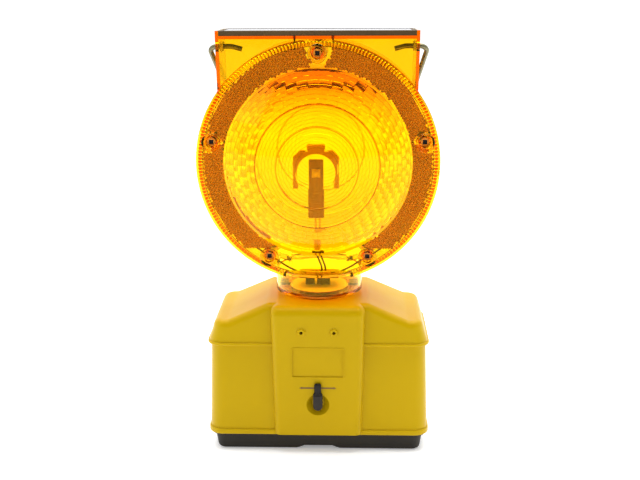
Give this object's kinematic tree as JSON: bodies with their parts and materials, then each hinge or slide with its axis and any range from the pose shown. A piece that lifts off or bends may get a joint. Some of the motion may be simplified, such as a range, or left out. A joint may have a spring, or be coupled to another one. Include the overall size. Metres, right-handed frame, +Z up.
{
  "type": "barrier warning lamp",
  "caption": "Two-sided amber warning lamp for a road barrier, with domed prism lenses, a solar roof, a wire bail and a yellow lift-off battery hood.",
  "frame": {"origin": "centre of the base, on the surface that the lamp stands on", "axes": "+Z up, -Y out of the front lens and the lock lever, +X to the right seen from the front"},
  "size_m": [0.194, 0.1038, 0.342],
  "materials": {
    "black_plastic": "fine matte grain",
    "yellow_plastic": "moulded, semi-gloss",
    "amber_lens": "clear amber polycarbonate",
    "amber_frame": "clear amber polycarbonate",
    "amber_reflector": "corner-prism sheet",
    "galvanised_wire": "galvanised",
    "steel": "zinc plated",
    "brass": "bright",
    "circuit_board": "brown laminate",
    "grey_plastic": "satin",
    "dark_rubber": "matt",
    "led_clear": "clear",
    "clear_plastic": "clear",
    "solar_cell": "dark blue glass face",
    "panel_frame": "brown grey",
    "battery_case": "plain card sleeve",
    "wire_black": "PVC",
    "white_nylon": "natural",
    "mark_brown": "ink in a groove"
  },
  "bodies": {
    "base": {"base_tray": "black_plastic", "washer_plate": "steel", "lock_catch": "steel", "catch_screws": "steel", "battery_left": "battery_case", "battery_left_springs": "brass", "battery_right": "battery_case", "battery_right_springs": "brass"},
    "hood": {"hood": "yellow_plastic", "direction_mark": "mark_brown", "contact_board": "circuit_board", "contact_strips": "brass", "contact_board_screws": "steel", "cable_socket": "white_nylon", "neck_cable": "wire_black", "lever_washer": "steel"},
    "lever": {"lock_lever": "grey_plastic", "lever_grip": "dark_rubber", "lock_cam": "steel", "cam_screw": "steel"},
    "head": {"head_frame": "amber_frame", "front_lens": "amber_lens", "rear_lens": "amber_lens", "front_reflector": "amber_reflector", "rear_reflector": "amber_reflector", "lens_screws": "steel", "lens_nuts": "steel", "led_board": "circuit_board", "front_led": "led_clear", "rear_led": "led_clear", "led_carrier": "grey_plastic", "board_stand": "clear_plastic", "wire_clip": "grey_plastic", "control_board": "circuit_board", "control_board_screws": "steel", "terminal_blocks": "grey_plastic", "light_sensor": "led_clear", "led_wires": "wire_black", "panel_wire_left": "wire_black", "panel_wire_right": "wire_black", "solar_panel_frame": "panel_frame", "solar_cells": "solar_cell", "neck_retainer": "white_nylon", "neck_disc": "white_nylon", "bail_bushes": "white_nylon"},
    "bail": {"bail_handle": "galvanised_wire"}
  },
  "joints": [
    {"name": "hood_lift", "type": "slide", "parent": "base", "child": "hood", "axis": [0, 0, 1], "range_m": [0, 0.13]},
    {"name": "lever_turn", "type": "hinge", "parent": "hood", "child": "lever", "pos_m": [0, -0.05, 0.0434], "axis": [0, 1, 0], "range_deg": [-45, 45]},
    {"name": "head_swivel", "type": "hinge", "parent": "hood", "child": "head", "pos_m": [0, 0, 0.13], "axis": [0, 0, 1], "range_deg": [-90, 90]},
    {"name": "bail_swing", "type": "hinge", "parent": "head", "child": "bail", "pos_m": [0, 0, 0.329], "axis": [1, 0, 0], "range_deg": [0, 270]}
  ]
}
